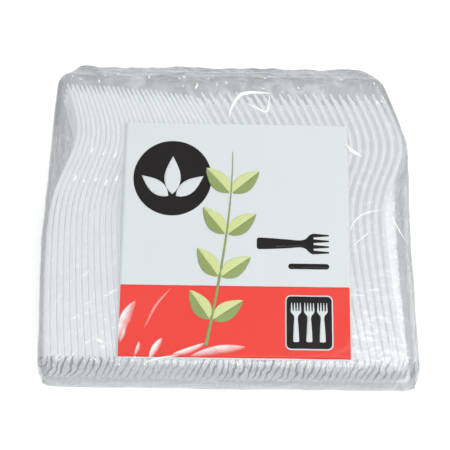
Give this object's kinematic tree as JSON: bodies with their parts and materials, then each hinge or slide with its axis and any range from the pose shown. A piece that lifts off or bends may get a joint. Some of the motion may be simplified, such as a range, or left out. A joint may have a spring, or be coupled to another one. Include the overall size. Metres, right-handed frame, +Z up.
{
  "type": "pack of plastic forks",
  "caption": "Catering pack of white plastic forks nested edge-on in two rows, sealed in a clear film bag with a printed front panel; it lies on its back.",
  "frame": {"origin": "on the table, under the middle of the pack", "axes": "+Z is up through the pack's thickness, out of the printed front; +X runs across the nested forks, to the right as the front is read; +Y runs along the forks, from the handles to the tines"},
  "size_m": [0.2068, 0.1934, 0.0583],
  "materials": {
    "fork_white": "moulded polystyrene, satin gloss",
    "clear_film": "clear polypropylene film, glossy and creased",
    "print_white": "white ink under glossy film",
    "print_red": "red ink under glossy film",
    "print_dark": "near-black ink under glossy film",
    "print_green": "green ink under glossy film"
  },
  "bodies": {
    "root": {"clear_bag": "clear_film", "lower_fork_row": "fork_white", "upper_fork_01": "fork_white", "upper_fork_02": "fork_white", "upper_fork_03": "fork_white", "upper_fork_04": "fork_white", "upper_fork_05": "fork_white", "upper_fork_06": "fork_white", "upper_fork_07": "fork_white", "upper_fork_08": "fork_white", "upper_fork_09": "fork_white", "upper_fork_10": "fork_white", "upper_fork_11": "fork_white", "upper_fork_12": "fork_white", "upper_fork_13": "fork_white", "upper_fork_14": "fork_white", "upper_fork_15": "fork_white", "upper_fork_16": "fork_white", "upper_fork_17": "fork_white", "upper_fork_18": "fork_white", "upper_fork_19": "fork_white", "upper_fork_20": "fork_white", "upper_fork_21": "fork_white", "upper_fork_22": "fork_white", "upper_fork_23": "fork_white", "upper_fork_24": "fork_white", "upper_fork_25": "fork_white", "upper_fork_26": "fork_white", "upper_fork_27": "fork_white", "upper_fork_28": "fork_white", "upper_fork_29": "fork_white", "upper_fork_30": "fork_white", "upper_fork_31": "fork_white", "upper_fork_32": "fork_white", "upper_fork_33": "fork_white", "upper_fork_34": "fork_white", "upper_fork_35": "fork_white", "upper_fork_36": "fork_white", "upper_fork_37": "fork_white", "upper_fork_38": "fork_white", "upper_fork_39": "fork_white", "upper_fork_40": "fork_white", "upper_fork_41": "fork_white", "upper_fork_42": "fork_white", "upper_fork_43": "fork_white", "upper_fork_44": "fork_white", "upper_fork_45": "fork_white", "upper_fork_46": "fork_white", "upper_fork_47": "fork_white", "upper_fork_48": "fork_white", "upper_fork_49": "fork_white", "upper_fork_50": "fork_white", "print_panel": "print_white", "print_band": "print_red", "print_badge": "print_dark", "print_disc": "print_dark", "print_fork_mark": "print_dark", "print_sprig": "print_green"}
  },
  "joints": []
}
